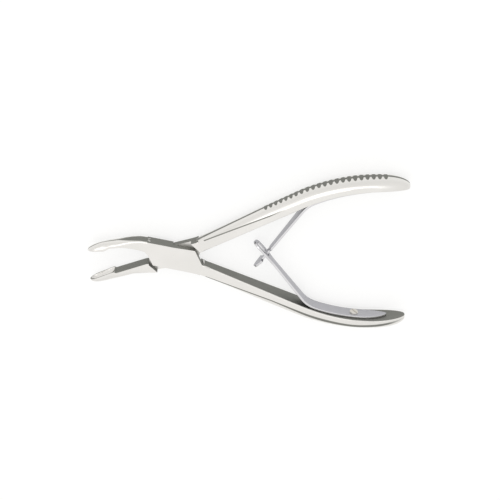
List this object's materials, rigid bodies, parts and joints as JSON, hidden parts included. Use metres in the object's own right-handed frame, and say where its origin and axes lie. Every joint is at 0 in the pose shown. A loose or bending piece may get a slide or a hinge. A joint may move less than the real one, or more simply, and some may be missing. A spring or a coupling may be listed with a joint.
{
  "type": "bone rongeur",
  "caption": "Single-action bone rongeur with hollow cup jaws, a riveted lap joint, grooved handles and two interlocking leaf springs.",
  "frame": {"origin": "Middle of the open instrument's footprint, on the plane that the flanks of the two handles lie on. The pivot axis crosses this plane at x -34.519 mm, y 0.", "axes": "+X runs along the bisector of the handles from the jaws to the handle ends, +Z is the pivot axis and points out of the side seen in the picture, +Y points to the handle that carries the tongue leaf."},
  "size_m": [0.1506, 0.0842, 0.0103],
  "materials": {
    "satin_steel": "satin brushed stainless steel, a little smoother on the backs",
    "spring_steel": "fine ground spring steel",
    "screw_steel": "turned and polished steel"
  },
  "bodies": {
    "far_side": {"far_half": "satin_steel", "upper_spring_screw": "screw_steel"},
    "near_side": {"near_half": "satin_steel", "pivot_screw": "screw_steel", "lower_spring_screw": "screw_steel"},
    "slotted_leaf": {"slotted_leaf_spring": "spring_steel"},
    "tongue_leaf": {"tongue_leaf_spring": "spring_steel"}
  },
  "joints": [
    {"name": "pivot_close", "type": "hinge", "parent": "far_side", "child": "near_side", "pos_m": [-0.03452, 0, 0.00515], "axis": [0, 0, 1], "range_deg": [0, 22], "stiffness_Nm_per_rad": 1.2},
    {"name": "slotted_leaf_flex", "type": "hinge", "parent": "near_side", "child": "slotted_leaf", "pos_m": [0.02503, -0.02364, 0.00515], "axis": [0, 0, 1], "range_deg": [0, 22], "deforming": ["slotted_leaf_spring"]},
    {"name": "tongue_leaf_flex", "type": "hinge", "parent": "far_side", "child": "tongue_leaf", "pos_m": [0.02518, 0.02388, 0.00515], "axis": [0, 0, 1], "range_deg": [-20, 0], "deforming": ["tongue_leaf_spring"]}
  ],
  "couplings": [
    {"joint": "slotted_leaf_flex", "follows": "pivot_close", "ratio": 0.97},
    {"joint": "tongue_leaf_flex", "follows": "pivot_close", "ratio": -0.85}
  ]
}
